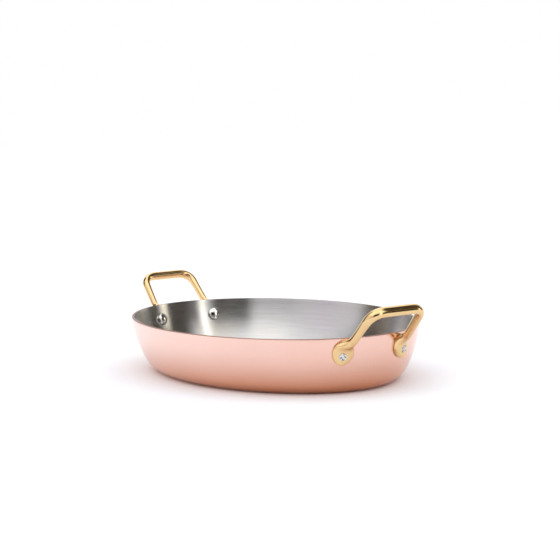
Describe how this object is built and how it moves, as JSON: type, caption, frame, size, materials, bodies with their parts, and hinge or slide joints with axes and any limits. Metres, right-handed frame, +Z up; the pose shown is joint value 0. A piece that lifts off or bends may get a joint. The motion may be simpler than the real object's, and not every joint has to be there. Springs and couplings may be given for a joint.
{
  "type": "oval two-handled copper pan",
  "caption": "Low oval copper pan with a stainless steel lining, a wall that curves out to the rim and a riveted cast brass loop handle at each end.",
  "frame": {"origin": "middle of the flat base, on the table", "axes": "+X along the pan from its middle to the right handle, -Y is the front, +Z up out of the pan"},
  "size_m": [0.3898, 0.223, 0.0764],
  "materials": {
    "copper": "polished copper, faintly brushed round the pan",
    "steel_lining": "satin, brushed round the pan",
    "brass": "polished cast brass",
    "rivet_steel": "polished heads, peened outer ends"
  },
  "bodies": {
    "root": {"copper_shell": "copper", "steel_lining": "steel_lining", "right_handle": "brass", "left_handle": "brass", "right_front_rivet": "rivet_steel", "right_back_rivet": "rivet_steel", "left_front_rivet": "rivet_steel", "left_back_rivet": "rivet_steel"}
  },
  "joints": []
}
